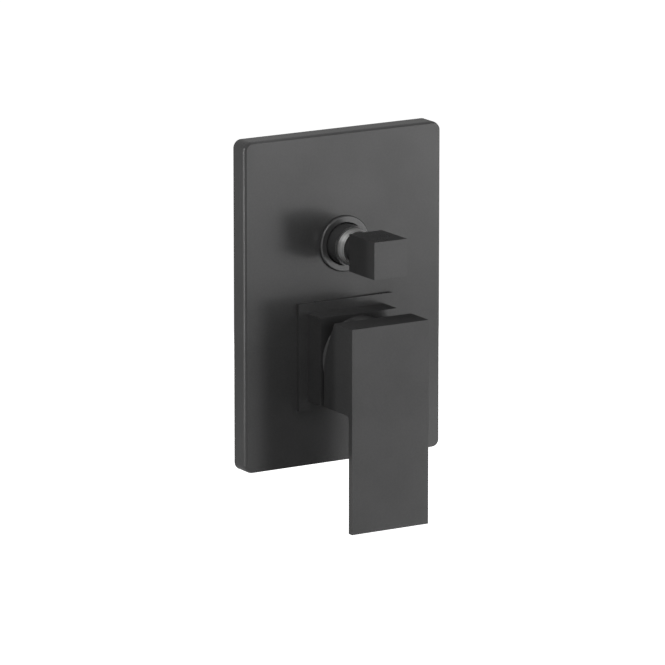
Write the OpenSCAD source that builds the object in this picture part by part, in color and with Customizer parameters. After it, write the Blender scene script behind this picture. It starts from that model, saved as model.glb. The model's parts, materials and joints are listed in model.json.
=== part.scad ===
// Concealed shower valve: a wall plate with a square lever for flow and temperature,
// a square diverter knob above it, and the brass body that is built into the wall.
//
// X points right, Y points into the wall and Z is up. The origin lies midway between
// the two lug holes, on the rear face of the lugs. Most pieces are drawn lying down and
// stood up by at_wall(): there the third coordinate is the distance in front of the
// finished wall, negative inside the wall. Names that end in _d are such distances.

/* [Wall plate] */
// Width of the plate
plate_w = 120; // [112:1:140]
// Height of the plate
plate_h = 178; // [170:1:210]
// Depth of the plate, from the wall to its front face
plate_d = 12.6; // [11.6:0.1:13]
// Radius of the corners of the plate's outline
plate_corner = 4.5; // [2.5:0.5:8]
// Depth over which the plate's sides curve in to its front face
plate_edge = 3.2; // [2.4:0.1:4]
// How far the sides have come in where they meet the front face
plate_edge_in = 0.75; // [0.5:0.05:1.2]
// Thickness of the plate's front and side walls
plate_wall = 3; // [2.4:0.1:3.4]

/* [Lever] */
// Height of the lever valve's axis, counted from the plate's centre
lever_z = -29.1; // [-31:0.1:-29]
// Width of the lever, and height of the block at its top
lever_w = 47; // [45.5:0.5:47.5]
// Length of the lever, from its top to its lower end
lever_l = 110.5; // [90:0.5:130]
// Distance from the wall to the front faces of the lever and the knob
front_d = 59.8; // [56:0.1:60]
// Distance from the wall to the rear face of the lever's block
lever_rear_d = 31.3; // [31:0.1:32]
// Thickness of the lever's long front blade
blade_t = 3.4; // [3:0.1:5]
// Radius of the curve at the block's top rear, which frees it as it tilts
lever_curve_r = 90; // [80:1:100]
// Distance below the valve's axis at which that curve begins
lever_curve_drop = 1.5; // [0.5:0.5:3]
// Slope of the curve where it begins, in degrees from upright
lever_curve_slope = 14.3; // [12:0.1:16]
// Furthest tilt of the lever, in degrees
lever_tilt = 20; // [18:1:20]

/* [Shroud and dome] */
// Width and height of the square shroud
shroud_w = 47.2; // [47:0.1:49]
// Distance from the wall to the shroud's front face
shroud_d = 27.8; // [27.4:0.1:28]
// Wall thickness of the shroud
shroud_wall = 2; // [1.8:0.1:2]
// Width and height of the shroud's square foot on the plate
foot_w = 58; // [54:1:62]
// Thickness of the foot
foot_t = 2; // [1.6:0.1:2.4]
// Distance from the wall to the pin that the lever tilts on
pivot_d = 16; // [15.8:0.1:16.2]
// Radius of the dome, which is centred on that pin
dome_r = 25.2; // [25:0.1:25.4]

/* [Diverter] */
// Height of the diverter's axis, counted from the plate's centre
diverter_z = 29.4; // [29.2:0.1:31]
// Width and height of the square knob
knob_w = 20; // [18:0.5:20]
// Distance from the wall to the knob's rear face
knob_rear_d = 34.4; // [33:0.1:36]
// Radius of the knob's round neck
knob_neck_r = 8; // [7.9:0.05:8]
// Outer radius of the collar on the plate
collar_r = 15.1; // [14.8:0.1:17]
// Thickness of the collar
collar_t = 1.7; // [1.4:0.1:2.2]
// Radius of the collar's bore
collar_bore_r = 11.7; // [11.6:0.05:11.8]
// Outer radius of the sleeve that covers the headpart
sleeve_r = 11; // [10.9:0.05:11.1]
// Distance from the wall to the sleeve's front end
sleeve_d = 21.9; // [21:0.1:23]
// Radius of the guide bush where it leaves the sleeve
bush_r = 10.3; // [10:0.1:10.8]
// Radius of the guide bush at its front end
bush_nose_r = 9; // [8.8:0.1:9.4]
// Distance from the wall to the guide bush's front end
bush_d = 27.3; // [26:0.1:29]

/* [Body in the wall] */
// Distance from the lugs' rear face to the finished wall
lug_depth = 50; // [50:0.5:52]
// Distance between the two lug holes
lug_span = 44; // [40:1:46]
// Radius of a lug hole
lug_hole_r = 2.75; // [2.2:0.05:3]
// Distance from the valve's axis to the end of each inlet
inlet_reach = 36; // [35:0.5:36.5]
// Height of the upper outlet's end, counted from the plate's centre
outlet_top_z = 70; // [66:1:80]
// Depth of the lower outlet's end below the plate's centre
outlet_low_z = 80; // [74:1:88]
// Radius inside the half-inch pipe threads
thread_r = 9.32; // [9.2:0.02:9.5]
// Length of those threads
thread_l = 14; // [11:0.5:15]

/* [Hidden] */
$fn = 96;

// Colours of the finishes
graphite = [0.18, 0.18, 0.19];
nickel = [0.72, 0.71, 0.69];
brass = [0.78, 0.62, 0.32];
steel = [0.62, 0.63, 0.65];
white_plastic = [0.86, 0.86, 0.84];
grey_plastic = [0.42, 0.44, 0.47];
ceramic = [0.93, 0.92, 0.88];
rubber = [0.09, 0.09, 0.1];
foam = [0.3, 0.3, 0.31];

// Clearances: between turning fits, between parts that only pass each other, and
// the small amount by which a cutter runs past the face that it opens
run_gap = 0.05;
loose_gap = 0.15;
past = 1;

// Lever valve, from the floor of its chamber outwards
chamber_floor_d = -14;
chamber_floor_t = 4.5;
neck_r = 20;
neck_mouth_d = 21;
cartridge_r = 17.4;
nut_seat_d = 12;
nut_r = 18.2;
base_t = 6;
disc_t = 4;
fixed_disc_r = 14;
moving_disc_r = 9.8;
ports = [[0, 3.4, 3], [5.8, -5.4, 2.8], [-5.8, -5.4, 2.8]];
seal_w = 1.5;
seal_proud = 0.5;
base_d = chamber_floor_d + seal_proud;
fixed_disc_d = base_d + base_t;
film_gap = 0.02;
moving_disc_d = fixed_disc_d + disc_t + film_gap;
carrier_d = moving_disc_d + disc_t;
carrier_t = 4;
key_w = 12;
key_h = 14;
key_t = 3.3;
ball_r = 3.2;
ball_arm = 11.5;
ball_d = pivot_d - ball_arm;
carriage_travel = ball_arm * sin(lever_tilt);
rotor_flange_r = 13.6;
rotor_flange_t = 4.2;
rotor_neck_r = 9.5;
rotor_gap = 0.5;
rotor_d = carrier_d + carrier_t + rotor_gap;
rotor_end_d = 20.5;
housing_inner_r = fixed_disc_r + 0.6;
housing_roof_d = rotor_d + rotor_flange_t + 0.2;
housing_neck_r = 12.4;
housing_end_d = 18.5;
stem_w = 8;
stem_foot_d = 11.5;
stem_end_d = front_d - 5.3;
pin_r = 1.5;

// Dome: its base circle lies on the shroud's front face
dome_wall = 2.2;
dome_base_r = sqrt(dome_r * dome_r - pow(shroud_d - pivot_d, 2));
dome_opening_angle = lever_tilt + 16.5;
dome_skirt_r = 21.2;
dome_skirt_d = 15;
shroud_bore_r = dome_skirt_r + 0.1;
lever_cavity_r = dome_r + 0.5;

// Diverter, from the floor of its chamber outwards
div_floor_d = -28;
div_mouth_d = -6;
div_chamber_r = 10.6;
div_seal_t = 1.5;
div_disc_t = 3;
div_disc_r = 9;
div_port_r = 3;
div_port_y = 5.2;
div_fixed_d = div_floor_d + div_seal_t;
div_moving_d = div_fixed_d + div_disc_t + film_gap;
div_foot_d = div_moving_d + div_disc_t;
div_foot_t = 4;
spindle_r = 4;
spindle_end_d = 43.5;
headpart_r = 10.5;
headpart_neck_r = 9;
headpart_end_d = 6;
headpart_hex_t = 5;
headpart_hex_r = 14.4;

// Waterways of the body: the inlets' gallery and the upright channel behind it
gallery_d = -23;
gallery_r = 10.5;
inlet_bore_r = 7;
inlet_bore_start = 5.5;
mixed_d = -20;
mixed_bore_r = 5;
mixed_throat_r = 3.8;
channel_d = -37;
channel_r = 9.5;
channel_bore_r = 6;
socket_r = 13.5;
socket_l = 15;
lug_r = 7;
lug_t = 5;

// Stands a piece up on the wall: its third coordinate becomes the distance in front of
// the finished wall, and its second the height above the level z
module at_wall(z = 0) {
    translate([0, -lug_depth, z]) rotate([90, 0, 0]) children();
}

// Round bar between two distances from the wall
module bar(r, from_d, to_d) {
    translate([0, 0, from_d]) cylinder(r = r, h = to_d - from_d);
}

// Tube between two distances from the wall
module tube(r, bore, from_d, to_d) {
    difference() {
        bar(r, from_d, to_d);
        bar(bore, from_d - past, to_d + past);
    }
}

// Rectangular bar, centred on the axis, between two distances from the wall
module slab(w, h, from_d, to_d) {
    translate([-w / 2, -h / 2, from_d]) cube([w, h, to_d - from_d]);
}

// Ring of round rubber cord
module o_ring(ring_r, cord_r, d) {
    translate([0, 0, d]) rotate_extrude() translate([ring_r, 0]) circle(r = cord_r, $fn = 24);
}

// Draws a profile of distance and height, w wide across the object
module across(w) {
    rotate([0, -90, 0]) linear_extrude(height = w, center = true) children();
}

// Radius of an arc that starts upright and comes in by inset over a given depth
function edge_radius(depth, inset) = (depth * depth + inset * inset) / (2 * inset);

// Section through a slab: flat at the back, with sides that curve in towards the front
module edge_section(half, t, depth, inset) {
    r = edge_radius(depth, inset);
    difference() {
        translate([0, -half]) square([t, 2 * half]);
        for (side = [-1, 1]) difference() {
            translate([t - depth, side > 0 ? half - inset - past : -half - past])
                square([depth + past, inset + 2 * past]);
            translate([t - depth, side * (half - r)]) circle(r = r);
        }
    }
}

// Slab with round outline corners and sides that curve in towards its front face
module curved_slab(w, h, t, corner, depth, inset) {
    r = edge_radius(depth, inset);
    across(w - 2 * corner) edge_section(h / 2, t, depth, inset);
    rotate([0, 0, 90]) across(h - 2 * corner) edge_section(w / 2, t, depth, inset);
    for (x = [-1, 1], y = [-1, 1])
        translate([x * (w / 2 - corner), y * (h / 2 - corner), 0]) rotate_extrude() {
            square([corner, t - depth]);
            intersection() {
                square([corner, t]);
                translate([corner - r, t - depth]) circle(r = r);
            }
        }
}

// The three ports of the mixing cartridge, widened by grow: mixed water, hot and cold
module port_bars(from_d, to_d, grow = 0) {
    for (p = ports) translate([p[0], p[1], 0]) bar(p[2] + grow, from_d, to_d);
}

// The two ports of the diverter
module diverter_ports(r, from_d, to_d) {
    for (s = [-1, 1]) translate([0, s * div_port_y, 0]) bar(r, from_d, to_d);
}

// Pegs that fix the cartridge's base to the floor of its chamber
module pegs(r, from_d, to_d) {
    for (s = [-1, 1]) translate([s * 12, 6, 0]) bar(r, from_d, to_d);
}

// Places its children along the inlets' axis, pointing outwards on one side
module inlet_side(side) {
    translate([0, lever_z, gallery_d]) rotate([0, side * 90, 0]) children();
}

// Places its children along the upright channel, pointing up or down
module outlet_side(side) {
    translate([0, 0, channel_d]) rotate([-side * 90, 0, 0]) children();
}

// Height of an outlet's end above or below the plate's centre
function outlet_end(side) = side > 0 ? outlet_top_z : outlet_low_z;

module body_casting() {
    // Lever valve's chamber and its long neck
    translate([0, lever_z, 0]) {
        bar(neck_r, chamber_floor_d - chamber_floor_t, neck_mouth_d);
        bar(neck_r - 3, gallery_d - 8, chamber_floor_d);
    }
    // Inlets, with octagonal ends for a spanner
    for (side = [-1, 1]) inlet_side(side) {
        cylinder(r = gallery_r, h = inlet_reach - 1);
        translate([0, 0, inlet_reach - socket_l])
            rotate([0, 0, 22.5]) cylinder(r = socket_r, h = socket_l, $fn = 8);
    }
    // Passage for the mixed water, from the lever valve up to the diverter
    translate([0, lever_z, mixed_d]) rotate([-90, 0, 0])
        cylinder(r = mixed_bore_r + 3, h = diverter_z - lever_z);
    // Diverter's chamber
    translate([0, diverter_z, 0]) bar(div_chamber_r + 4, channel_d + 2, div_mouth_d);
    // Upright channel with the two outlets
    outlet_side(-1) translate([0, 0, 1 - outlet_end(1)])
        cylinder(r = channel_r, h = outlet_end(1) + outlet_end(-1) - 2);
    for (side = [-1, 1]) outlet_side(side)
        translate([0, 0, outlet_end(side) - socket_l])
            rotate([0, 0, 22.5]) cylinder(r = socket_r, h = socket_l, $fn = 8);
    // Lugs, on a block that joins them to the channel
    slab(2 * channel_r - 2, 2 * lug_r + 2, -lug_depth, channel_d);
    slab(lug_span, 2 * lug_r, -lug_depth, lug_t - lug_depth);
    for (side = [-1, 1]) translate([side * lug_span / 2, 0, 0])
        bar(lug_r, -lug_depth, lug_t - lug_depth);
}

module body_bores() {
    // Chamber for the cartridge, wider where the nut screws in
    translate([0, lever_z, 0]) {
        bar(cartridge_r + loose_gap, chamber_floor_d, nut_seat_d);
        bar(nut_r + run_gap, nut_seat_d - 0.5, neck_mouth_d + past);
        port_bars(gallery_d, chamber_floor_d + past);
        pegs(2.1, chamber_floor_d - 2.6, chamber_floor_d + past);
    }
    // Inlets
    for (side = [-1, 1]) inlet_side(side) {
        translate([0, 0, inlet_bore_start]) cylinder(r = inlet_bore_r, h = inlet_reach);
        translate([0, 0, inlet_reach - thread_l]) cylinder(r = thread_r, h = thread_l + past);
    }
    // Passage for the mixed water: a throat between the inlet bores, then a wider bore
    translate([0, lever_z, mixed_d]) rotate([-90, 0, 0]) {
        translate([0, 0, 2.5]) cylinder(r = mixed_throat_r, h = 12);
        translate([0, 0, 10]) cylinder(r = mixed_bore_r, h = diverter_z - lever_z - 18);
    }
    // Diverter's chamber and its two ports
    translate([0, diverter_z, 0]) {
        bar(div_chamber_r, div_floor_d, div_mouth_d + past);
        diverter_ports(div_port_r, channel_d, div_floor_d + past);
    }
    // Outlets: a wall behind the diverter keeps them apart
    for (side = [-1, 1]) outlet_side(side) {
        translate([0, 0, 2 + side * diverter_z])
            cylinder(r = channel_bore_r, h = outlet_end(side) - side * diverter_z);
        translate([0, 0, outlet_end(side) - thread_l])
            cylinder(r = thread_r, h = thread_l + past);
    }
    for (side = [-1, 1]) translate([side * lug_span / 2, 0, 0])
        bar(lug_hole_r, -lug_depth - past, lug_t - lug_depth + past);
}

module valve_body() {
    color(brass) at_wall() difference() {
        body_casting();
        body_bores();
    }
}

// Cast tray, open at the back, with a hub round each hole and ribs between them
module wall_plate() {
    hub_d = 5;
    hub_wall = 3;
    rib_t = 2;
    hole_r = shroud_bore_r;
    collar_hole_r = collar_bore_r + 1.5;
    color(graphite) at_wall() difference() {
        union() {
            difference() {
                curved_slab(plate_w, plate_h, plate_d, plate_corner, plate_edge, plate_edge_in);
                slab(plate_w - 2 * plate_wall, plate_h - 2 * plate_wall, -past, plate_d - plate_wall);
            }
            translate([0, lever_z, 0]) bar(hole_r + hub_wall, hub_d, plate_d - 1);
            translate([0, diverter_z, 0]) bar(collar_hole_r + hub_wall, hub_d, plate_d - 1);
            for (z = [lever_z, diverter_z])
                translate([0, z, 0]) slab(plate_w - 2, rib_t, hub_d + 1, plate_d - 1);
            slab(rib_t, plate_h - 2, hub_d + 1, plate_d - 1);
        }
        translate([0, lever_z, 0]) bar(hole_r, 0, plate_d + past);
        translate([0, diverter_z, 0]) bar(collar_hole_r, 0, plate_d + past);
    }
}

// Foam strip just inside the tray's rim, pressed against the wall
module plate_gasket() {
    strip_w = 4;
    strip_t = 4;
    w = plate_w - 2 * plate_wall;
    h = plate_h - 2 * plate_wall;
    color(foam) at_wall() difference() {
        slab(w, h, 0, strip_t);
        slab(w - 2 * strip_w, h - 2 * strip_w, -past, strip_t + past);
    }
}

// Rubber ring between the body's neck and the plate's hub
module plate_o_ring() {
    cord_r = (shroud_bore_r - neck_r) / 2;
    color(rubber) at_wall(lever_z) o_ring(neck_r + cord_r, cord_r, 9);
}

// Thin square cup with a foot, open towards the wall
module shroud() {
    inner_w = shroud_w - 2 * shroud_wall;
    color(graphite) at_wall(lever_z) difference() {
        union() {
            slab(shroud_w, shroud_w, plate_d, shroud_d);
            slab(foot_w, foot_w, plate_d, plate_d + foot_t);
        }
        slab(inner_w, inner_w, plate_d - past, shroud_d - shroud_wall);
        bar(shroud_bore_r, plate_d - past, shroud_d + past);
    }
}

// Cap that screws onto the neck, clamps the shroud and carries the dome
module dome_cap() {
    inner_r = dome_r - dome_wall;
    skirt_bore_r = neck_r + run_gap;
    skirt_top_d = pivot_d + sqrt(inner_r * inner_r - skirt_bore_r * skirt_bore_r);
    color(graphite) at_wall(lever_z) difference() {
        union() {
            bar(dome_skirt_r, dome_skirt_d, shroud_d + 0.1);
            intersection() {
                translate([0, 0, pivot_d]) sphere(r = dome_r);
                bar(dome_r, shroud_d, pivot_d + dome_r);
            }
        }
        bar(skirt_bore_r, dome_skirt_d - past, skirt_top_d);
        intersection() {
            translate([0, 0, pivot_d]) sphere(r = inner_r);
            bar(inner_r, skirt_top_d - 0.1, pivot_d + dome_r);
        }
        translate([0, 0, pivot_d])
            cylinder(r1 = 0, r2 = 2 * dome_r * tan(dome_opening_angle), h = 2 * dome_r);
    }
}

// Ring nut with six notches for its spanner
module cartridge_nut() {
    nut_t = 6;
    notch_w = 5;
    notch_d = 3;
    color(brass) at_wall(lever_z) difference() {
        tube(nut_r, housing_neck_r + 0.3, nut_seat_d, nut_seat_d + nut_t);
        for (a = [0:60:300]) rotate([0, 0, a])
            translate([housing_neck_r - past, -notch_w / 2, nut_seat_d + nut_t - notch_d])
                cube([4, notch_w, notch_d + past]);
    }
}

module cartridge_housing() {
    color(white_plastic) at_wall(lever_z) difference() {
        union() {
            bar(cartridge_r, fixed_disc_d, nut_seat_d);
            bar(housing_neck_r, fixed_disc_d, housing_end_d);
        }
        bar(housing_inner_r, fixed_disc_d - past, housing_roof_d);
        bar(rotor_neck_r + run_gap, fixed_disc_d, housing_end_d + past);
    }
}

module cartridge_base() {
    seal_recess = 1.5;
    color(grey_plastic) at_wall(lever_z) difference() {
        union() {
            bar(cartridge_r, base_d, fixed_disc_d);
            pegs(2, base_d - 2.5, base_d + past);
        }
        port_bars(base_d - past, fixed_disc_d + past);
        port_bars(base_d - past, base_d + seal_recess, seal_w);
    }
}

// Three rubber rings that close the joint between base and floor
module base_seals() {
    color(rubber) at_wall(lever_z) for (p = ports) translate([p[0], p[1], 0])
        tube(p[2] + seal_w - 0.05, p[2], chamber_floor_d, base_d + 1.5);
}

module fixed_disc() {
    color(ceramic) at_wall(lever_z) difference() {
        bar(fixed_disc_r, fixed_disc_d, fixed_disc_d + disc_t);
        port_bars(fixed_disc_d - past, moving_disc_d + past);
    }
}

// Its pocket joins the ports as it slides and turns on the fixed disc
module moving_disc() {
    pocket_r = 5.2;
    pocket_t = 2.2;
    color(ceramic) at_wall(lever_z) difference() {
        bar(moving_disc_r, moving_disc_d, carrier_d);
        translate([0, 2.6, 0]) bar(pocket_r, moving_disc_d - past, moving_disc_d + pocket_t);
    }
}

// Rides on the moving disc; its key slides in the rotor and its hole holds the ball
module carrier() {
    color(grey_plastic) at_wall(lever_z) difference() {
        union() {
            bar(moving_disc_r, carrier_d, carrier_d + carrier_t);
            slab(key_w, key_h, carrier_d, carrier_d + carrier_t + key_t);
        }
        bar(ball_r + loose_gap, ball_d - ball_r - 0.1, rotor_end_d);
    }
}

// Turns in the housing's neck with the lever and carries the pin that it tilts on
module rotor() {
    slot_low = 6;
    slot_high = 6.2;
    key_gap = 0.3;
    slot_w = stem_w + 2 * loose_gap;
    color(white_plastic) at_wall(lever_z) difference() {
        union() {
            bar(rotor_flange_r, rotor_d, rotor_d + rotor_flange_t);
            bar(rotor_neck_r, rotor_d, rotor_end_d);
        }
        translate([-slot_w / 2, -slot_low, rotor_d - past])
            cube([slot_w, slot_low + slot_high, rotor_end_d - rotor_d + 2 * past]);
        translate([-key_w / 2 - loose_gap, -key_h / 2 - carriage_travel - key_gap, rotor_d - past])
            cube([key_w + 2 * loose_gap, key_h + carriage_travel + 2 * key_gap, key_t + past]);
        translate([0, 0, pivot_d]) rotate([0, 90, 0])
            cylinder(r = pin_r + run_gap, h = 3 * rotor_neck_r, center = true, $fn = 32);
        tube(rotor_neck_r + past, rotor_neck_r - 1.2, 10.6, 12.4);
    }
}

module rotor_o_ring() {
    cord_r = 0.6;
    color(rubber) at_wall(lever_z) o_ring(rotor_neck_r - 1.2 + cord_r, cord_r, 11.5);
}

module pivot_pin() {
    color(steel) at_wall(lever_z) translate([0, 0, pivot_d]) rotate([0, 90, 0])
        cylinder(r = pin_r, h = 2 * rotor_neck_r - 0.8, center = true, $fn = 32);
}

// Square stem with a ball at its inner end
module stem() {
    arm_r = 2.2;
    color(steel) at_wall(lever_z) difference() {
        union() {
            translate([0, 0, ball_d]) sphere(r = ball_r, $fn = 48);
            bar(arm_r, ball_d, stem_foot_d + 1);
            slab(stem_w, stem_w, stem_foot_d, stem_end_d);
        }
        translate([0, 0, pivot_d]) rotate([0, 90, 0])
            cylinder(r = pin_r + run_gap, h = 2 * stem_w, center = true, $fn = 32);
    }
}

// Side view of the lever: block, blade and the curve at the top rear
module lever_profile() {
    half = lever_w / 2;
    fillet = 2;
    blade_rear_d = front_d - blade_t;
    difference() {
        union() {
            intersection() {
                translate([lever_rear_d, -half]) square([front_d - lever_rear_d, lever_w]);
                translate([lever_rear_d, -lever_curve_drop]) rotate(-lever_curve_slope)
                    translate([lever_curve_r, 0]) circle(r = lever_curve_r, $fn = 240);
            }
            translate([blade_rear_d, half - lever_l]) square([blade_t, lever_l - half]);
            translate([blade_rear_d - fillet, -half - fillet]) square([fillet + past, fillet + past]);
        }
        translate([blade_rear_d - fillet, -half - fillet]) circle(r = fillet, $fn = 48);
    }
}

// Solid casting, hollowed behind by a ball-shaped seat that clears the dome
module lever() {
    color(graphite) at_wall(lever_z) difference() {
        across(lever_w) lever_profile();
        translate([0, 0, pivot_d]) sphere(r = lever_cavity_r);
        slab(stem_w + 0.1, stem_w + 0.1, pivot_d, stem_end_d + 0.5);
        grub_place() grub_hole();
    }
}

// Places its children at the lever's underside, pointing up towards the stem
grub_d = 48;
grub_r = 2.5;
grub_l = 8;
plug_r = 3.2;
plug_t = 2.5;
module grub_place() {
    translate([0, -lever_w / 2, grub_d]) rotate([-90, 0, 0]) children();
}

module grub_hole() {
    translate([0, 0, -past]) cylinder(r = grub_r + run_gap, h = lever_w / 2 + past, $fn = 48);
    translate([0, 0, -past]) cylinder(r = plug_r + run_gap, h = plug_t + past, $fn = 48);
}

// Set screw with a hexagon socket, drawn from its driven end
module set_screw(r, l, key) {
    difference() {
        cylinder(r = r, h = l, $fn = 48);
        translate([0, 0, -past]) cylinder(r = key / sqrt(3), h = l / 2 + past, $fn = 6);
    }
}

module lever_grub_screw() {
    gap = 0.02;
    color(steel) at_wall(lever_z) grub_place()
        translate([0, 0, (lever_w - stem_w) / 2 - grub_l - gap]) set_screw(grub_r, grub_l, 2.5);
}

// Domed cap that closes the hole of the set screw, flush with the lever
module screw_plug() {
    color(graphite) at_wall(lever_z) grub_place()
        cylinder(r = plug_r, h = plug_t, $fn = 48);
}

// Ring in the plate's hole, with a rounded rim and a groove for its rubber ring
module diverter_collar() {
    rim = 0.8;
    hub_r = collar_bore_r + 1.4;
    hub_d = plate_d - 4.6;
    groove_r = collar_bore_r + 0.7;
    groove_w = 1.8;
    top_d = plate_d + collar_t;
    color(graphite) at_wall(diverter_z) difference() {
        union() {
            bar(hub_r, hub_d, plate_d + 0.1);
            translate([0, 0, plate_d]) rotate_extrude() {
                square([collar_r - rim, collar_t]);
                square([collar_r, collar_t - rim]);
                translate([collar_r - rim, collar_t - rim]) circle(r = rim, $fn = 48);
            }
        }
        bar(collar_bore_r, hub_d - past, top_d + past);
        bar(groove_r, plate_d - 2.6 - groove_w / 2, plate_d - 2.6 + groove_w / 2);
    }
}

module collar_o_ring() {
    cord_r = (collar_bore_r + 0.7 - sleeve_r) / 2;
    color(rubber) at_wall(diverter_z) o_ring(sleeve_r + cord_r, cord_r, plate_d - 2.6);
}

module diverter_sleeve() {
    color(graphite) at_wall(diverter_z)
        tube(sleeve_r, headpart_neck_r + run_gap, div_mouth_d + headpart_hex_t + 0.2, sleeve_d);
}

// Polished bush that guides the knob's neck; its inner end sits in the sleeve
module guide_bush() {
    spigot_d = 14;
    color(nickel) at_wall(diverter_z) difference() {
        union() {
            bar(headpart_neck_r, spigot_d, sleeve_d + 0.1);
            translate([0, 0, sleeve_d])
                cylinder(r1 = bush_r, r2 = bush_nose_r, h = bush_d - sleeve_d);
        }
        bar(knob_neck_r + run_gap, spigot_d - past, bush_d + past);
    }
}

// Brass insert that holds the discs down, with windows for the mixed water
module headpart() {
    cage_r = div_disc_r + 0.3;
    hex_d = div_mouth_d + headpart_hex_t;
    window_w = 7;
    color(brass) at_wall(diverter_z) difference() {
        union() {
            bar(headpart_r, div_fixed_d + div_disc_t, div_mouth_d + 0.1);
            translate([0, 0, div_mouth_d])
                cylinder(r = headpart_hex_r, h = headpart_hex_t, $fn = 6);
            bar(headpart_neck_r, hex_d - 0.1, headpart_end_d);
        }
        bar(cage_r, div_moving_d - past, div_foot_d + div_foot_t + 0.3);
        bar(spindle_r + run_gap, div_moving_d, headpart_end_d + past);
        for (a = [0:90:270]) rotate([0, 0, a + 45])
            translate([div_disc_r - 2, -window_w / 2, div_moving_d + 0.8])
                cube([6, window_w, 4.4]);
        tube(headpart_r + past, headpart_r - 1, div_mouth_d - 3, div_mouth_d - 1);
    }
}

module headpart_o_ring() {
    cord_r = 0.52;
    color(rubber) at_wall(diverter_z) o_ring(headpart_r - 1 + cord_r, cord_r, div_mouth_d - 2);
}

module diverter_seal() {
    color(rubber) at_wall(diverter_z) difference() {
        bar(headpart_r, div_floor_d, div_fixed_d);
        diverter_ports(div_port_r, div_floor_d - past, div_fixed_d + past);
    }
}

module diverter_fixed_disc() {
    color(ceramic) at_wall(diverter_z) difference() {
        bar(headpart_r, div_fixed_d, div_fixed_d + div_disc_t);
        diverter_ports(div_port_r, div_fixed_d - past, div_moving_d + past);
    }
}

// Its hole meets one of the two ports when it is turned a quarter either way
module diverter_moving_disc() {
    key_slot_w = 3.1;
    key_slot_t = 1.6;
    color(ceramic) at_wall(diverter_z) difference() {
        bar(div_disc_r, div_moving_d, div_foot_d);
        translate([div_port_y, 0, 0]) bar(div_port_r, div_moving_d - past, div_foot_d + past);
        slab(key_slot_w, 2 * div_disc_r - 2, div_foot_d - key_slot_t, div_foot_d + past);
    }
}

module diverter_spindle() {
    foot_r = div_disc_r - 0.2;
    key_w = 3;
    key_t = 1.5;
    flat_d = 20;
    color(brass) at_wall(diverter_z) difference() {
        union() {
            bar(foot_r, div_foot_d, div_foot_d + div_foot_t);
            slab(key_w, 2 * div_disc_r - 2.4, div_foot_d - key_t, div_foot_d + 1);
            bar(spindle_r, div_foot_d, spindle_end_d);
        }
        // Way in for the water above the disc's hole
        translate([spindle_r, -div_port_r, div_foot_d])
            cube([foot_r, 2 * div_port_r, div_foot_t - 1]);
        // Grooves for the rubber ring and the clip
        tube(spindle_r + past, spindle_r - 1, -9, -7);
        tube(spindle_r + past, spindle_r - 0.7, headpart_end_d + 0.2, headpart_end_d + 1.3);
        // Flat for the knob's screw
        translate([-spindle_r, -spindle_r - past, flat_d]) cube([2 * spindle_r, 1 + past, 40]);
    }
}

module spindle_o_ring() {
    cord_r = 0.5;
    color(rubber) at_wall(diverter_z) o_ring(spindle_r - 1 + cord_r, cord_r, -8);
}

// Open ring that keeps the spindle from being pulled out
module spindle_clip() {
    clip_r = 6.2;
    clip_t = 0.9;
    clip_d = headpart_end_d + 0.3;
    opening = 4;
    color(steel) at_wall(diverter_z) difference() {
        tube(clip_r, spindle_r - 0.65, clip_d, clip_d + clip_t);
        translate([-opening / 2, 0, clip_d - past]) cube([opening, clip_r + past, clip_t + 2 * past]);
    }
}

// Square knob with a round neck and a blind bore for the spindle
knob_grub_d = 40;
knob_grub_r = 1.5;
module diverter_knob() {
    neck_d = 15;
    color(graphite) at_wall(diverter_z) difference() {
        union() {
            slab(knob_w, knob_w, knob_rear_d, front_d);
            bar(knob_neck_r, neck_d, knob_rear_d + 0.1);
        }
        bar(spindle_r + run_gap, neck_d - past, spindle_end_d + 0.5);
        knob_grub_place() translate([0, 0, -past])
            cylinder(r = knob_grub_r + run_gap, h = knob_w / 2 + past, $fn = 48);
    }
}

module knob_grub_place() {
    translate([0, -knob_w / 2, knob_grub_d]) rotate([-90, 0, 0]) children();
}

module knob_grub_screw() {
    screw_l = 5;
    gap = 0.02;
    color(steel) at_wall(diverter_z) knob_grub_place()
        translate([0, 0, knob_w / 2 - spindle_r + 1 - screw_l - gap])
            set_screw(knob_grub_r, screw_l, 1.5);
}

valve_body();
wall_plate();
plate_gasket();
plate_o_ring();
shroud();
dome_cap();
cartridge_nut();
cartridge_housing();
cartridge_base();
base_seals();
fixed_disc();
rotor();
rotor_o_ring();
pivot_pin();
carrier();
moving_disc();
stem();
lever();
lever_grub_screw();
screw_plug();
diverter_collar();
collar_o_ring();
diverter_sleeve();
guide_bush();
headpart();
headpart_o_ring();
diverter_seal();
diverter_fixed_disc();
diverter_moving_disc();
diverter_spindle();
spindle_o_ring();
spindle_clip();
diverter_knob();
knob_grub_screw();
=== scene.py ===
# %% [markdown]
# # A concealed shower valve
# The valve body is built into the wall and only the plate, the lever and the diverter
# knob are seen in a bathroom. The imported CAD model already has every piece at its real
# place and size, so this lesson is about what makes it look real: a camera that stands
# where the photographer stood, studio light, and a finish for each material. It ends
# with a few pieces that are easier to model in Blender than in CAD, such as threads.

# %% Load the CAD model
import json
import math
import bpy
from mathutils import Matrix, Vector


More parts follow.
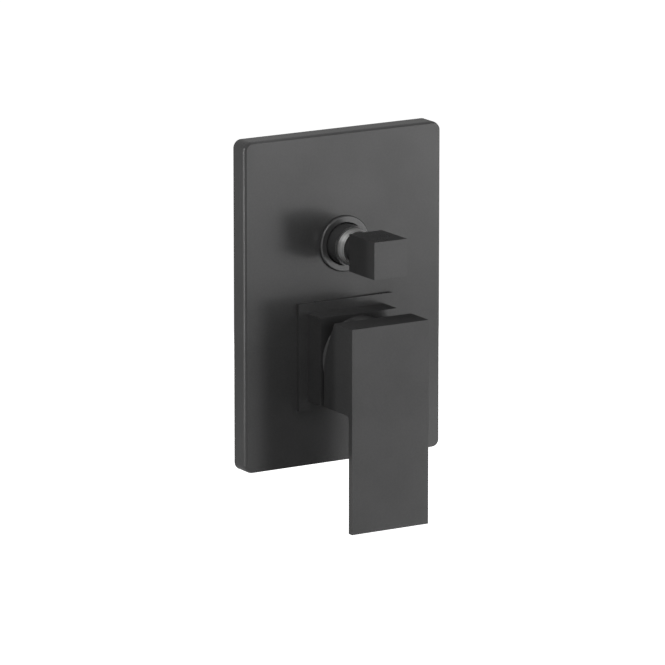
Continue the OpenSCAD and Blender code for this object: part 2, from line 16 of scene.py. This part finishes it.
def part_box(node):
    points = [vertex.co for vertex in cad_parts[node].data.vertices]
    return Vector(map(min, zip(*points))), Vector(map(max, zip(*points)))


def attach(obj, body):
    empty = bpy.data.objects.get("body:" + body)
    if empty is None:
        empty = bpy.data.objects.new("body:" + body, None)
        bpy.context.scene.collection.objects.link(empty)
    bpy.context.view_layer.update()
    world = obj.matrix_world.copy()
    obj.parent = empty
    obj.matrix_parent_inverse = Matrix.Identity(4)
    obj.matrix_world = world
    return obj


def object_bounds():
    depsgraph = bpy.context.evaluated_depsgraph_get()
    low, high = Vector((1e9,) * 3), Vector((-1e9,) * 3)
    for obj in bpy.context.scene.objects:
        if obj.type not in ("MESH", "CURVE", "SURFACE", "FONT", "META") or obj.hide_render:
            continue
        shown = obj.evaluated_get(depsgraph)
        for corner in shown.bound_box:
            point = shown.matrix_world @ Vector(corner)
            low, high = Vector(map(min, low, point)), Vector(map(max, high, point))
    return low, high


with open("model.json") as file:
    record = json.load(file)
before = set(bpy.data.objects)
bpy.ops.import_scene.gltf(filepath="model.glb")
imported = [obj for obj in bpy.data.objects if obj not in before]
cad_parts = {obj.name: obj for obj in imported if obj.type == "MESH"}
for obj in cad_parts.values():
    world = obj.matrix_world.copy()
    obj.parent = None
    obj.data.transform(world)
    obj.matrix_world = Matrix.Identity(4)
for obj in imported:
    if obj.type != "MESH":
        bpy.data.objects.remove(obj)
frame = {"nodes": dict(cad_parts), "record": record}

MM = 0.001
cad_box = [list(corner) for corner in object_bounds()]
print("nodes", len(frame["nodes"]), "box", cad_box)

# %% [markdown]
# ## The camera
# The photo was taken from the left and a little above, through a long lens, which keeps
# the plate's edges almost parallel. The numbers come from fitting a camera to corners of
# the plate, the lever and the knob, as a surveyor would. The camera's own axes follow
# from its two angles: `back` points from the valve to the camera. The two shifts slide
# the camera along its other axes, because the valve isn't in the middle of the photo.

# %% Camera
AZIMUTH = math.radians(-31.033)
ELEVATION = math.radians(12.951)
DISTANCE = 3300.33 * MM
WALL_Y = -50 * MM
PHOTO_PIXELS = 665
FOCAL_PIXELS = 6220.96
SHIFT_RIGHT = 0.438 * MM
SHIFT_UP = -20.883 * MM
SENSOR_WIDTH = 36
FARTHEST_SEEN = 50

back = Vector((math.sin(AZIMUTH) * math.cos(ELEVATION),
               -math.cos(AZIMUTH) * math.cos(ELEVATION),
               math.sin(ELEVATION)))
right = Vector((math.cos(AZIMUTH), math.sin(AZIMUTH), 0))
up = back.cross(right)

camera_data = bpy.data.cameras.new("camera")
camera_data.sensor_width = SENSOR_WIDTH
camera_data.lens = FOCAL_PIXELS / PHOTO_PIXELS * SENSOR_WIDTH
camera_data.clip_end = FARTHEST_SEEN
camera = bpy.data.objects.new("camera", camera_data)
bpy.context.scene.collection.objects.link(camera)
place = Vector((0, WALL_Y, 0)) + back * DISTANCE + right * SHIFT_RIGHT + up * SHIFT_UP
turned = Matrix((right, up, back)).transposed().to_4x4()
camera.matrix_world = Matrix.Translation(place) @ turned
bpy.context.scene.camera = camera
print("lens", round(camera_data.lens, 1), "mm, camera at", [round(c, 3) for c in place])

# %% [markdown]
# ## Shader maths as plain expressions
# A procedural finish is a long sum of masks and noises. Wiring Math nodes by hand hides
# the formula, so one small class wraps a socket and lets Python's operators add the
# nodes. `1 - mask` and `mask * 0.2 + 0.4` then read as they would on paper.

# %% Sockets with operators
class Value:
    """A number that varies over a surface: one output socket of a material's nodes."""

    def __init__(self, maker, socket):
        self.maker = maker
        self.socket = socket

    def _math(self, operation, *others):
        node = self.maker.node("ShaderNodeMath", {"operation": operation},
                               dict(enumerate((self,) + others)))
        return node.out(0)

    def __add__(self, other):
        return self._math("ADD", other)

    __radd__ = __add__

    def __sub__(self, other):
        return self._math("SUBTRACT", other)

    def __rsub__(self, other):
        return (self * -1) + other

    def __mul__(self, other):
        return self._math("MULTIPLY", other)

    __rmul__ = __mul__

    def __truediv__(self, other):
        return self._math("DIVIDE", other)

    def power(self, exponent):
        return self._math("POWER", exponent)

    def size(self):
        return self._math("ABSOLUTE")

    def most(self, other):
        return self._math("MAXIMUM", other)

    def ramp(self, low, high):
        """0 below low, 1 above high and smooth between them; low may be the larger."""
        node = self.maker.node("ShaderNodeMapRange", {"interpolation_type": "SMOOTHSTEP"},
                               {"Value": self, "From Min": low, "From Max": high})
        return node.out("Result")


class Made:
    """A node that has been added, with its outputs by name or number."""

    def __init__(self, maker, node):
        self.maker = maker
        self.node = node

    def out(self, name):
        return Value(self.maker, self.node.outputs[name])


class Finish:
    """One material, built up node by node."""

    def __init__(self, name):
        self.material = bpy.data.materials.new(name)
        self.material.use_nodes = True
        self.nodes = self.material.node_tree.nodes
        self.links = self.material.node_tree.links
        self.nodes.clear()
        self.output = self.nodes.new("ShaderNodeOutputMaterial")

    def node(self, kind, settings=None, inputs=None):
        made = self.nodes.new(kind)
        for name, value in (settings or {}).items():
            setattr(made, name, value)
        for name, value in (inputs or {}).items():
            self.feed(made.inputs[name], value)
        return Made(self, made)

    def feed(self, socket, value):
        if isinstance(value, Value):
            self.links.new(value.socket, socket)
        else:
            socket.default_value = value

    def place(self):
        """The point on the surface, in metres, the same for every view."""
        return self.node("ShaderNodeTexCoord").out("Object")

    def axes(self):
        split = self.node("ShaderNodeSeparateXYZ", inputs={"Vector": self.place()})
        return split.out("X"), split.out("Y"), split.out("Z")

    def noise(self, grain, detail=2, stretch=(1, 1, 1)):
        """Noise from 0 to 1 whose lumps are about grain metres across."""
        mapped = self.node("ShaderNodeMapping", inputs={
            "Vector": self.place(), "Scale": [s / grain for s in stretch]})
        return self.node("ShaderNodeTexNoise", inputs={
            "Vector": mapped.out("Vector"), "Scale": 1.0, "Detail": detail}).out("Fac")

    def mix(self, share, first, second):
        """Blends two colours; each is a colour or the output of another mix."""
        node = self.node("ShaderNodeMix", {"data_type": "RGBA"})
        inputs, outputs = node.node.inputs, node.node.outputs
        colours = [s for s in inputs if s.type == "RGBA"]
        self.feed(inputs[0], share)
        self.feed(colours[0], first)
        self.feed(colours[1], second)
        return Value(self, [s for s in outputs if s.type == "RGBA"][0])

    def bump(self, height, depth, edge=0.0):
        """A surface direction disturbed by height, which is worth depth metres, on
        corners that are rounded by a radius of edge metres."""
        inputs = {"Height": height, "Distance": depth, "Strength": 1.0}
        if edge:
            rounded = self.node("ShaderNodeBevel", {"samples": 6}, {"Radius": edge})
            inputs["Normal"] = rounded.out("Normal")
        return self.node("ShaderNodeBump", inputs=inputs).out("Normal")

    def surface(self, **inputs):
        """Ends the material in a Principled BSDF; underscores stand for spaces."""
        names = {name.replace("_", " ").replace("IOR level", "IOR Level"): value
                 for name, value in inputs.items()}
        shader = self.node("ShaderNodeBsdfPrincipled", inputs=names)
        self.links.new(shader.node.outputs[0], self.output.inputs["Surface"])
        return self.material


finishes = {}

# %% [markdown]
# ## The studio
# The photo is a cut-out on pure white. The world is white for the camera and for
# reflections, and almost dark as a source of light, so that the lamps alone shape the
# valve. The floor does the same, and still takes the valve's shadow.

# %% World
WHITE = (1, 1, 1, 1)
SKY_LIGHT = 0.06
world = bpy.data.worlds.new("studio")
world.use_nodes = True
bpy.context.scene.world = world
sky = world.node_tree
sky.nodes.clear()
seen_sky = sky.nodes.new("ShaderNodeBackground")
seen_sky.inputs["Color"].default_value = WHITE
seen_sky.inputs["Strength"].default_value = 1.0
lit_sky = sky.nodes.new("ShaderNodeBackground")
lit_sky.inputs["Color"].default_value = WHITE
lit_sky.inputs["Strength"].default_value = SKY_LIGHT


def seen_directly(tree):
    """1 on rays from the camera and on reflected or transmitted ones, 0 on the rest."""
    path = tree.nodes.new("ShaderNodeLightPath")
    total = path.outputs["Is Camera Ray"]
    for name in ("Is Glossy Ray", "Is Transmission Ray"):
        most = tree.nodes.new("ShaderNodeMath")
        most.operation = "MAXIMUM"
        tree.links.new(total, most.inputs[0])
        tree.links.new(path.outputs[name], most.inputs[1])
        total = most.outputs[0]
    return total


sky_mix = sky.nodes.new("ShaderNodeMixShader")
sky_out = sky.nodes.new("ShaderNodeOutputWorld")
sky.links.new(seen_directly(sky), sky_mix.inputs[0])
sky.links.new(lit_sky.outputs[0], sky_mix.inputs[1])
sky.links.new(seen_sky.outputs[0], sky_mix.inputs[2])
sky.links.new(sky_mix.outputs[0], sky_out.inputs["Surface"])

# %% Floor
FLOOR_DROP = 0.24
FLOOR_SIZE = 12
FLOOR_GLOW = 0.97
PALE = (0.8, 0.8, 0.8, 1)
bpy.ops.object.select_all(action="DESELECT")
bpy.ops.mesh.primitive_plane_add(size=FLOOR_SIZE,
                                 location=(0, 0, cad_box[0][2] - FLOOR_DROP))
floor = bpy.context.object
floor.name = "floor"
floor_finish = Finish("studio_floor")
matt = floor_finish.node("ShaderNodeBsdfDiffuse", inputs={"Color": PALE}).node
glow = floor_finish.node("ShaderNodeEmission",
                         inputs={"Color": WHITE, "Strength": FLOOR_GLOW}).node
both = floor_finish.node("ShaderNodeAddShader").node
choose = floor_finish.node("ShaderNodeMixShader").node
directly = seen_directly(floor_finish.material.node_tree)
for start, end in ((matt.outputs[0], both.inputs[0]),
                   (glow.outputs[0], both.inputs[1]),
                   (directly, choose.inputs[0]),
                   (matt.outputs[0], choose.inputs[1]),
                   (both.outputs[0], choose.inputs[2]),
                   (choose.outputs[0], floor_finish.output.inputs["Surface"])):
    floor_finish.links.new(start, end)
floor.data.materials.append(floor_finish.material)
print("floor at", round(floor.location.z, 3))

# %% [markdown]
# Each lamp is an area light turned to face the valve. Its direction is given as seen
# from the valve, because that is how a shadow or a highlight is read off a photo.
#
# - The key, side and front lamps stand about level with the valve. Their soft shadows
#   lie to the left of the knob and the lever, as in the photo.
# - The edge lamp is a tall strip behind the left side. Its reflection is the bright line
#   down the plate's left edge, which mirrors it only where the edge has turned enough.
# - The top and upper left lamps are weak, and no lamp stands behind the valve and above
#   it, where the camera would see it mirrored in the faces on top. They stay dark.
# - The rear lamp lights the brass for a view from behind. It stands low and to the right,
#   where no face that the photo shows can see it.

# %% Lamps
LAMP_AIM = Vector((0, -80 * MM, 0))


def lamp(name, direction, distance, width, tall, watts):
    data = bpy.data.lights.new(name, "AREA")
    data.shape = "RECTANGLE"
    data.size = width
    data.size_y = tall
    data.energy = watts
    made = bpy.data.objects.new(name, data)
    bpy.context.scene.collection.objects.link(made)
    towards = Vector(direction).normalized()
    made.matrix_world = (Matrix.Translation(LAMP_AIM + towards * distance)
                         @ towards.to_track_quat("Z", "Y").to_matrix().to_4x4())


lamp("key_lamp", (0.60, -0.79, 0.04), 1.3, 0.65, 0.65, 5.4)
lamp("side_lamp", (0.77, -0.60, -0.15), 1.3, 0.5, 0.5, 3.6)
lamp("front_lamp", (-0.20, -1.00, 0.00), 1.3, 0.8, 0.8, 4.9)
lamp("top_lamp", (0.00, -0.15, 1.00), 1.3, 0.8, 0.8, 2.2)
lamp("upper_left_lamp", (-0.50, -0.25, 0.60), 0.45, 0.25, 0.25, 1.35)
lamp("low_lamp", (0.60, -0.50, -0.50), 0.6, 0.3, 0.3, 1.0)
lamp("edge_lamp", (-0.79, 0.62, 0.05), 1.3, 0.10, 0.9, 5.0)
lamp("rear_lamp", (0.35, 0.93, -0.08), 1.5, 0.9, 0.35, 4.0)

# %% [markdown]
# ## Graphite coating
# The visible trim is die-cast and coated matt graphite black. Such a coat is a dark,
# almost neutral pigment under a thin clear skin. The pigment gives the dark faces their
# tone, and the skin gives the lit ones their grey sheen. Both are a little uneven, in
# broad patches and in flecks of a millimetre, and the surface has a grain as fine as
# flour. Corners are never dead sharp: a Bevel node rounds the light on them without
# touching the CAD mesh.

# %% Coated metal
COAT_EDGE = 0.25 * MM


def coat_over_metal(f, sheen, height, depth):
    """Graphite coating: sheen is how much clear skin it has, and height its relief,
    which is worth depth metres."""
    darker, lighter = (0.0275, 0.0275, 0.0278, 1), (0.0335, 0.0335, 0.0338, 1)
    patches = f.noise(35 * MM, 3)
    flecks = f.noise(1.1 * MM, 1)
    share = patches.ramp(0.3, 0.7) * 0.7 + flecks.ramp(0.35, 0.65) * 0.3
    return f.surface(Base_Color=f.mix(share, darker, lighter),
                     Roughness=0.6, Specular_IOR_Level=0.0,
                     Coat_Weight=patches * 0.05 + flecks * 0.03 + (sheen - 0.04),
                     Coat_Roughness=0.23, Coat_IOR=1.7,
                     Normal=f.bump(height, depth, COAT_EDGE))


def graphite_coat():
    f = Finish("graphite_coat")
    return coat_over_metal(f, 0.27, f.noise(0.35 * MM, 2), 0.012 * MM)


finishes["graphite_coat"] = graphite_coat()

# %% [markdown]
# ## Turned pieces of the diverter
# The one bright piece is the bush behind the knob. It was turned on a lathe, so faint
# rings run round its axis: a noise of the distance to the axis and the place along it.
# Its root and its end are dark and not metallic, so only the band between them shines.
# On the end this dark is painted shade, which hides the end face's highlight. The collar
# and the sleeve were turned too and then coated, which left their skin smoother.

# %% Polished nickel, and coat on turned metal
DIVERTER_Z = 29.4 * MM
LEVER_Z = -29.1 * MM
BUSH_FRONT_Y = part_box("guide_bush")[0][1]
SLEEVE_FRONT_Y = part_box("diverter_sleeve")[0][1]


def turned_marks(f, height, pitch, detail=3):
    """Rings about pitch metres apart, round the axis at that height that points out of
    the wall. They change with the distance to the axis and with the place along it."""
    x, y, z = f.axes()
    drop = z - height
    radius = (x * x + drop * drop).power(0.5)
    steps = f.node("ShaderNodeCombineXYZ", inputs={"X": radius / pitch, "Y": y / pitch})
    return f.node("ShaderNodeTexNoise", inputs={
        "Vector": steps.out("Vector"), "Scale": 1.0, "Detail": detail}).out("Fac")


def polished_nickel():
    f = Finish("polished_nickel")
    dull, bright, dark_tone = (0.76, 0.76, 0.755, 1), (0.92, 0.92, 0.915, 1), (0.03, 0.03, 0.03, 1)
    y = f.axes()[1]
    rings = turned_marks(f, DIVERTER_Z, 1.2 * MM, detail=0)
    # Painted shade on the end face: it is made dark and not metallic, which hides its
    # highlight.
    end = y.ramp(BUSH_FRONT_Y + 0.3 * MM, BUSH_FRONT_Y + 0.1 * MM)
    # The root is dark and not metallic too, to about a millimetre in front of the sleeve.
    root = y.ramp(SLEEVE_FRONT_Y - 1.2 * MM, SLEEVE_FRONT_Y - 1.0 * MM)
    dark_root_and_painted_shade_end = end.most(root)
    metal = f.mix(rings.ramp(0.35, 0.65), dull, bright)
    return f.surface(Base_Color=f.mix(dark_root_and_painted_shade_end, metal, dark_tone),
                     Metallic=1 - dark_root_and_painted_shade_end,
                     Roughness=rings * 0.1 + dark_root_and_painted_shade_end * 0.25 + 0.27,
                     Normal=f.bump(rings, 0.002 * MM, 0.1 * MM))


def turned_coat():
    f = Finish("turned_coat")
    return coat_over_metal(f, 0.42, turned_marks(f, DIVERTER_Z, 0.5 * MM), 0.015 * MM)


finishes["polished_nickel"] = polished_nickel()
finishes["turned_coat"] = turned_coat()

# %% [markdown]
# ## Brass
# The body is a sand casting: rough and a little dull where it was cast, bright where a
# cutter has been, which is on the ends of its four sockets and inside them. A mask finds
# those places by their distance from the sockets' axes. The nut, the headpart and the
# spindle are turned all over.

# %% The body's four sockets
BODY_LOW, BODY_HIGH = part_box("valve_body")
INLET_Y = -27 * MM
OUTLET_Y = -13 * MM
THREAD_R = 9.32 * MM
THREAD_LENGTH = 14 * MM


def inside(distance, radius):
    """1 where a distance is under a radius, with a border of a tenth of a millimetre."""
    return distance.ramp(radius + 0.1 * MM, radius)


def machined(f):
    """1 on the sockets' end faces and threads, 0 on the rest of the casting."""
    x, y, z = f.axes()
    middle = (BODY_LOW.z + BODY_HIGH.z) / 2
    inlet_depth = BODY_HIGH.x - x.size()
    outlet_depth = (BODY_HIGH.z - BODY_LOW.z) / 2 - (z - middle).size()
    inlet_radius = ((y - INLET_Y).power(2) + (z - LEVER_Z).power(2)).power(0.5)
    outlet_radius = (x.power(2) + (y - OUTLET_Y).power(2)).power(0.5)
    found = []
    for depth, radius in ((inlet_depth, inlet_radius), (outlet_depth, outlet_radius)):
        end_face = inside(depth, 0.05 * MM)
        bore = inside(depth, THREAD_LENGTH) * inside(radius, THREAD_R + 0.3 * MM)
        found.append(bore.most(end_face))
    return found[0].most(found[1])


# %% Cast and turned brass
def cast_brass():
    f = Finish("cast_brass")
    dull, warm, clean = (0.42, 0.29, 0.13, 1), (0.56, 0.41, 0.19, 1), (0.62, 0.46, 0.21, 1)
    sand = f.noise(1.1 * MM, 4)
    patches = f.noise(20 * MM, 3)
    cut = machined(f)
    cast = f.mix(patches.ramp(0.3, 0.7), dull, warm)
    return f.surface(Base_Color=f.mix(cut, cast, clean), Metallic=0.9,
                     Roughness=(patches * 0.1 + 0.42) * (1 - cut * 0.25),
                     Normal=f.bump(sand * (1 - cut * 0.95), 0.22 * MM, 0.6 * MM))


def turned_brass():
    f = Finish("turned_brass")
    marks = turned_marks(f, DIVERTER_Z, 0.5 * MM)
    return f.surface(Base_Color=(0.70, 0.53, 0.24, 1), Metallic=1.0,
                     Roughness=marks * 0.15 + 0.18,
                     Normal=f.bump(marks, 0.02 * MM, 0.2 * MM))


finishes["cast_brass"] = cast_brass()
finishes["turned_brass"] = turned_brass()

# %% [markdown]
# ## Steel, plastic, ceramic, rubber and foam
# These pieces are inside, and are seen when the valve is taken apart. Steel has drawn
# lines, moulded plastic a faint orange peel, lapped ceramic none at all; rubber is dull
# with a bloom of talc, and foam shows its cells.

# %% Inner materials
def steel():
    f = Finish("steel")
    drawn = f.noise(0.3 * MM, 3, (1, 0.05, 1))
    return f.surface(Base_Color=(0.55, 0.56, 0.58, 1), Metallic=1.0,
                     Roughness=drawn * 0.2 + 0.22,
                     Normal=f.bump(drawn, 0.01 * MM, 0.2 * MM))


def moulded_plastic(name, dark, light):
    f = Finish(name)
    peel = f.noise(1.2 * MM, 2)
    flow = f.noise(12 * MM, 2)
    return f.surface(Base_Color=f.mix(flow.ramp(0.3, 0.7), dark, light),
                     Roughness=flow * 0.1 + 0.4,
                     Normal=f.bump(peel, 0.02 * MM, 0.3 * MM))


def ceramic():
    f = Finish("ceramic")
    cream, grey = (0.86, 0.84, 0.79, 1), (0.74, 0.71, 0.66, 1)
    specks = f.noise(0.6 * MM, 3)
    return f.surface(Base_Color=f.mix(specks.ramp(0.62, 0.7), cream, grey),
                     Roughness=specks * 0.05 + 0.1,
                     Normal=f.bump(specks, 0.002 * MM, 0.2 * MM))


def rubber():
    f = Finish("rubber")
    black, dusty = (0.02, 0.02, 0.022, 1), (0.05, 0.05, 0.05, 1)
    bloom = f.noise(4 * MM, 3)
    skin = f.noise(0.4 * MM, 2)
    return f.surface(Base_Color=f.mix(bloom.ramp(0.4, 0.8), black, dusty),
                     Roughness=bloom * 0.15 + 0.6, Normal=f.bump(skin, 0.02 * MM))


def foam():
    f = Finish("foam")
    pore, wall = (0.02, 0.02, 0.02, 1), (0.075, 0.075, 0.08, 1)
    cells_a_metre = 1600.0
    cells = f.node("ShaderNodeTexVoronoi", inputs={
        "Vector": f.place(), "Scale": cells_a_metre}).out("Distance")
    return f.surface(Base_Color=f.mix(cells.ramp(0.1, 0.6), pore, wall),
                     Roughness=0.9, Normal=f.bump(cells, 0.3 * MM))


finishes["steel"] = steel()
finishes["white_plastic"] = moulded_plastic(
    "white_plastic", (0.72, 0.72, 0.69, 1), (0.8, 0.8, 0.77, 1))
finishes["grey_plastic"] = moulded_plastic(
    "grey_plastic", (0.14, 0.15, 0.17, 1), (0.19, 0.2, 0.22, 1))
finishes["ceramic"] = ceramic()
finishes["rubber"] = rubber()
finishes["foam"] = foam()

# %% [markdown]
# ## Pipe threads
# The CAD sockets are plain bores, because a thread is a shape that modelling by hand
# makes better. Its profile is a small square that gets a narrow crest and a wide root,
# and a Screw modifier sweeps it round. The root is buried in the wall, and so is the
# crest at both ends, because a real thread runs out gently. One thread is modelled, and
# the four sockets have copies of it.

# %% One thread, on the Z axis, with the socket's mouth at z = 0 and its inside below
PITCH = 25.4 / 14 * MM
RIDGE = 0.45 * MM
CREST_SHARE = 0.25
ROOT_SHARE = 1.9
TURNS = 6
STEPS = 40
RUN_OUT_STEPS = 12
LOW_END = -THREAD_LENGTH + 2 * RIDGE


def in_edit_mode(obj):
    bpy.ops.object.select_all(action="DESELECT")
    obj.select_set(True)
    bpy.context.view_layer.objects.active = obj
    bpy.ops.object.mode_set(mode="EDIT")


def select_points(obj, wanted):
    """Selects the points of obj, which is in edit mode, whose place passes wanted."""
    bpy.ops.mesh.select_mode(type="VERT")
    bpy.ops.mesh.select_all(action="DESELECT")
    bpy.ops.object.mode_set(mode="OBJECT")
    for point in obj.data.vertices:
        point.select = wanted(point.co)
    bpy.ops.object.mode_set(mode="EDIT")


def thread_profile():
    """Four edges in the XZ plane round the bore's wall, at the inner end of the thread."""
    bpy.ops.object.select_all(action="DESELECT")
    bpy.ops.mesh.primitive_plane_add(size=2 * RIDGE, location=(THREAD_R, 0, LOW_END),
                                     rotation=(math.pi / 2, 0, 0))
    ridge = bpy.context.object
    bpy.ops.object.transform_apply(location=True, rotation=True, scale=True)
    in_edit_mode(ridge)
    for share, side in ((CREST_SHARE, -1), (ROOT_SHARE, 1)):
        select_points(ridge, lambda co: (co.x - THREAD_R) * side > 0)
        bpy.ops.transform.resize(value=(1, 1, share))
    bpy.ops.mesh.select_all(action="SELECT")
    bpy.ops.mesh.delete(type="ONLY_FACE")
    bpy.ops.object.mode_set(mode="OBJECT")
    return ridge


def sweep(ridge):
    """Turns the profile round and up the socket's axis, as a right-handed thread."""
    screw = ridge.modifiers.new("screw", "SCREW")
    screw.axis = "Z"
    screw.screw_offset = PITCH
    screw.iterations = TURNS
    screw.steps = screw.render_steps = STEPS
    bpy.ops.object.modifier_apply(modifier=screw.name)


def run_out(ridge):
    """Widens the crest, step by step, until it is in the wall at both ends."""
    buried = (THREAD_R + 0.3 * RIDGE) / (THREAD_R - RIDGE)
    for end_z, way in ((LOW_END, 1), (LOW_END + TURNS * PITCH, -1)):
        for step in range(RUN_OUT_STEPS):
            turn = way * step * 2 * math.pi / STEPS
            towards = Vector((math.cos(turn), math.sin(turn)))
            step_z = end_z + way * step * PITCH / STEPS
            select_points(ridge, lambda co: co.xy.length < THREAD_R
                          and co.xy.normalized().dot(towards) > math.cos(math.pi / STEPS)
                          and abs(co.z - step_z) < PITCH / 2)
            grown = buried + (1 - buried) * step / RUN_OUT_STEPS
            bpy.ops.transform.resize(value=(grown, grown, 1), center_override=(0, 0, 0))


def close_ends():
    """Caps the two open ends, which have four edges each, and turns all faces outwards."""
    bpy.ops.mesh.select_all(action="DESELECT")
    bpy.ops.mesh.select_mode(type="EDGE")
    bpy.ops.mesh.select_non_manifold()
    bpy.ops.mesh.fill_holes(sides=4)
    bpy.ops.mesh.select_all(action="SELECT")
    bpy.ops.mesh.normals_make_consistent(inside=False)


thread = thread_profile()
sweep(thread)
in_edit_mode(thread)
run_out(thread)
close_ends()
bpy.ops.object.mode_set(mode="OBJECT")
bpy.ops.object.shade_smooth_by_angle(angle=math.radians(30))

# %% Four copies, each with its mesh in its own socket
SOCKETS = {
    "inlet_thread_left": ((BODY_LOW.x, INLET_Y, LEVER_Z), (0, -math.pi / 2, 0)),
    "inlet_thread_right": ((BODY_HIGH.x, INLET_Y, LEVER_Z), (0, math.pi / 2, 0)),
    "outlet_thread_top": ((0, OUTLET_Y, BODY_HIGH.z), (0, 0, 0)),
    "outlet_thread_bottom": ((0, OUTLET_Y, BODY_LOW.z), (math.pi, 0, 0)),
}
body_slot = next(part["material_slot"] for part in frame["record"]["subparts"]
                 if part["node"] == "valve_body")
thread.data.materials.append(finishes[body_slot])
for name, (mouth, turn) in SOCKETS.items():
    piece = thread.copy()
    piece.data = thread.data.copy()
    piece.name = piece.data.name = name
    bpy.context.scene.collection.objects.link(piece)
    bpy.ops.object.select_all(action="DESELECT")
    piece.select_set(True)
    bpy.context.view_layer.objects.active = piece
    piece.location = mouth
    piece.rotation_euler = turn
    bpy.ops.object.transform_apply(location=True, rotation=True, scale=True)
    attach(piece, "wall_unit")
bpy.data.objects.remove(thread)
print("thread", len(piece.data.polygons), "faces each")

# %% [markdown]
# ## Dressing the CAD pieces
# The record names a material slot for each piece. The collar and the sleeve are the only
# exceptions: their slot is the graphite coat, and they get its turned version.

# %% Give every CAD node the finish of its slot
TURNED_TRIM = {"diverter_collar": "turned_coat", "diverter_sleeve": "turned_coat"}
for part in frame["record"]["subparts"]:
    node = frame["nodes"][part["node"]]
    finish = TURNED_TRIM.get(part["node"], part["material_slot"])
    for slot in node.material_slots:
        slot.material = finishes[finish]
print("finishes", sorted(finishes))

# %% The Standard view transform, so that colours render as written
bpy.context.scene.view_settings.view_transform = "Standard"
